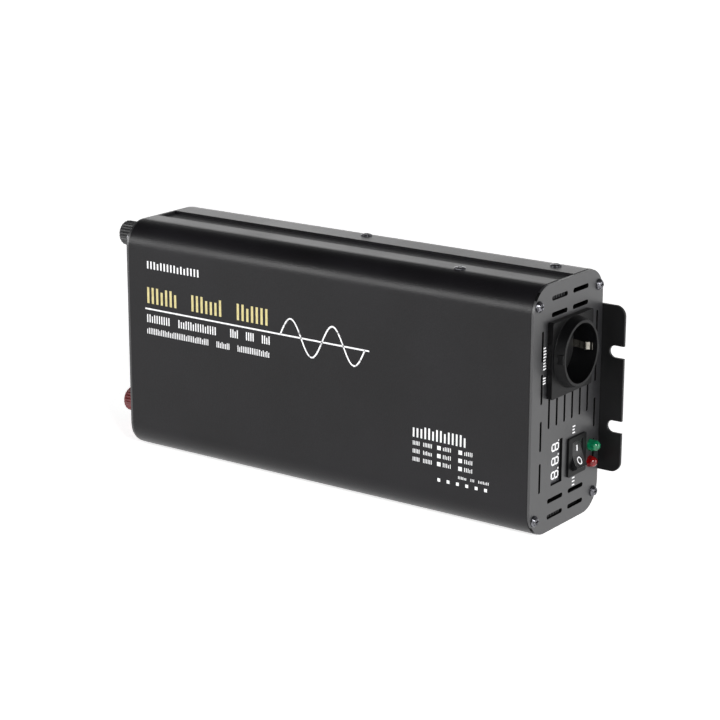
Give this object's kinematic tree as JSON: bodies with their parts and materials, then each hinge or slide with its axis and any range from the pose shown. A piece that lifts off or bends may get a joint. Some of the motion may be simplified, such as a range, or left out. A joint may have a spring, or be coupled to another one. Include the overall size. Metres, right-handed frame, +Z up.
{
  "type": "power inverter",
  "caption": "Flat metal power inverter case with a round mains outlet, rocker switch and display on one end, battery terminals and a fan on the other, and a notched back plate.",
  "frame": {"origin": "centre of the bounding box's underside, where the case stands on a narrow side", "axes": "+X along the case from the battery-terminal end to the outlet end, +Y from the front face to the back plate, +Z up"},
  "size_m": [0.3894, 0.088, 0.1664],
  "materials": {
    "case_finish": "satin black coating",
    "rail_finish": "black anodised, dull",
    "screw_finish": "blackened steel",
    "outlet_plastic": "moulded black",
    "insert_plastic": "moulded black",
    "contact_metal": "bright",
    "clip_metal": "nickel-plated",
    "switch_plastic": "moulded black",
    "rocker_plastic": "polished black",
    "tab_metal": "tinned",
    "display_plastic": "dark filter face",
    "circuit_board": "green laminate",
    "green_lens": "clear tinted resin",
    "red_lens": "clear tinted resin",
    "fan_plastic": "moulded black",
    "guard_wire": "black coated wire",
    "black_bush": "moulded black",
    "red_bush": "moulded red",
    "stud_metal": "turned",
    "washer_metal": "plated",
    "black_knob": "moulded black",
    "red_knob": "moulded red",
    "copper": "bare copper",
    "ferrite": "dull grey",
    "winding": "enamelled wire",
    "capacitor_blue": "shrink sleeve",
    "capacitor_black": "shrink sleeve",
    "choke_coating": "painted core",
    "film_case": "epoxy",
    "chip_plastic": "moulded black",
    "clamp_metal": "plain",
    "fuse_plastic": "tinted",
    "block_plastic": "moulded green",
    "white_ink": "screen-printed marks",
    "gold_ink": "screen-printed marks",
    "brown_wire": "insulated",
    "black_wire": "insulated",
    "red_wire": "insulated"
  },
  "bodies": {
    "case": {"front_shell": "case_finish", "rear_shell": "case_finish", "top_rail": "rail_finish", "bottom_rail": "rail_finish", "outlet_panel": "case_finish", "terminal_panel": "case_finish", "outlet_panel_screws": "screw_finish", "terminal_panel_screws": "screw_finish", "top_case_screws": "screw_finish", "bottom_case_screws": "screw_finish", "back_plate": "case_finish", "back_plate_screws": "screw_finish", "outlet_body": "outlet_plastic", "outlet_insert": "insert_plastic", "outlet_contacts": "contact_metal", "earth_clips": "clip_metal", "switch_body": "switch_plastic", "switch_tabs": "tab_metal", "display_module": "display_plastic", "display_board": "circuit_board", "green_lamp": "green_lens", "red_lamp": "red_lens", "lamp_board": "circuit_board", "fan_frame": "fan_plastic", "fan_guard": "guard_wire", "fan_screws": "screw_finish", "negative_bush": "black_bush", "positive_bush": "red_bush", "negative_stud": "stud_metal", "positive_stud": "stud_metal", "terminal_nuts": "tab_metal", "negative_strap": "copper", "positive_strap": "copper", "main_board": "circuit_board", "board_standoffs": "stud_metal", "board_screws": "tab_metal", "transformer_cores": "ferrite", "transformer_windings": "winding", "input_capacitors": "capacitor_blue", "bus_capacitors": "capacitor_black", "choke_core": "choke_coating", "choke_winding": "winding", "film_capacitors": "film_case", "top_transistors": "chip_plastic", "bottom_transistors": "chip_plastic", "clamp_bars": "clamp_metal", "clamp_screws": "tab_metal", "control_board": "circuit_board", "control_parts": "chip_plastic", "fuses": "fuse_plastic", "output_block": "block_plastic", "output_wires": "brown_wire", "switch_wires": "black_wire", "fan_wires": "red_wire"},
    "rocker": {"power_rocker": "rocker_plastic"},
    "negative_washer": {"negative_washer": "washer_metal"},
    "negative_knob": {"negative_knob": "black_knob"},
    "positive_washer": {"positive_washer": "washer_metal"},
    "positive_knob": {"positive_knob": "red_knob"},
    "fan_rotor": {"fan_rotor": "fan_plastic"}
  },
  "joints": [
    {"name": "power_rocker_tilt", "type": "hinge", "parent": "case", "child": "rocker", "pos_m": [0.17765, 0.0122, 0.0438], "axis": [0, 1, 0], "range_deg": [0, 30]},
    {"name": "negative_washer_slide", "type": "slide", "parent": "case", "child": "negative_washer", "axis": [-1, 0, 0], "range_m": [0, 0.0063]},
    {"name": "negative_knob_turn", "type": "hinge", "parent": "negative_washer", "child": "negative_knob", "pos_m": [-0.165, -0.001, 0.1453], "axis": [-1, 0, 0], "range_deg": [0, 1800]},
    {"name": "positive_washer_slide", "type": "slide", "parent": "case", "child": "positive_washer", "axis": [-1, 0, 0], "range_m": [0, 0.0063]},
    {"name": "positive_knob_turn", "type": "hinge", "parent": "positive_washer", "child": "positive_knob", "pos_m": [-0.165, -0.001, 0.0197], "axis": [-1, 0, 0], "range_deg": [0, 1800]},
    {"name": "fan_spin", "type": "hinge", "parent": "case", "child": "fan_rotor", "pos_m": [-0.15, -0.001, 0.0825], "axis": [1, 0, 0], "continuous": true}
  ],
  "couplings": [
    {"joint": "negative_washer_slide", "follows": "negative_knob_turn", "m_per_rad": 0.00019894},
    {"joint": "positive_washer_slide", "follows": "positive_knob_turn", "m_per_rad": 0.00019894}
  ]
}
